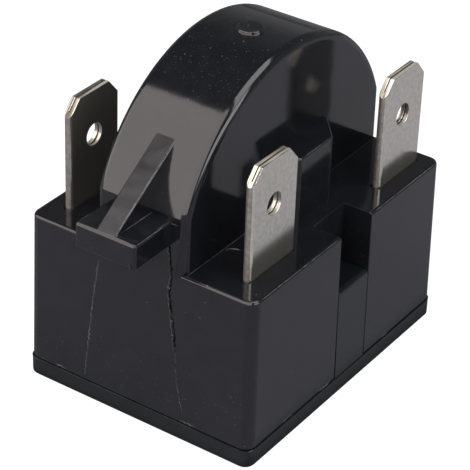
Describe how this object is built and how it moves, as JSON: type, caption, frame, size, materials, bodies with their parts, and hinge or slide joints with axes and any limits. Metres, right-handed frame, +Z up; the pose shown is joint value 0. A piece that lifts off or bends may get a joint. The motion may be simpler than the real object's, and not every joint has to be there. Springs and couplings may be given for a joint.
{
  "type": "compressor start relay",
  "caption": "Black moulded starter for a refrigerator compressor: a round drum on a box body, with folded blade terminals on top and pin sockets below.",
  "frame": {"origin": "middle of the base plate's underside", "axes": "+Z up out of the flat top, X along the drum's axis with two blades on the +X side, Y along the longer side of the body with the shelf on the -Y wall"},
  "size_m": [0.023, 0.034, 0.0312],
  "materials": {
    "housing_plastic": "gloss",
    "base_plastic": "gloss",
    "plated_sheet": "satin nickel plate",
    "rivet_metal": "plain",
    "socket_metal": "turned",
    "spring_metal": "rolled",
    "pill_ceramic": "silvered ceramic"
  },
  "bodies": {
    "root": {"housing": "housing_plastic", "base_plate": "base_plastic", "line_terminal": "plated_sheet", "run_terminal": "plated_sheet", "start_terminal": "plated_sheet", "link_strip": "plated_sheet", "link_rivets": "rivet_metal", "run_socket": "socket_metal", "start_socket": "socket_metal", "run_socket_clip": "spring_metal", "start_socket_clip": "spring_metal", "ptc_pill": "pill_ceramic", "line_contact": "spring_metal", "start_contact": "spring_metal"}
  },
  "joints": []
}
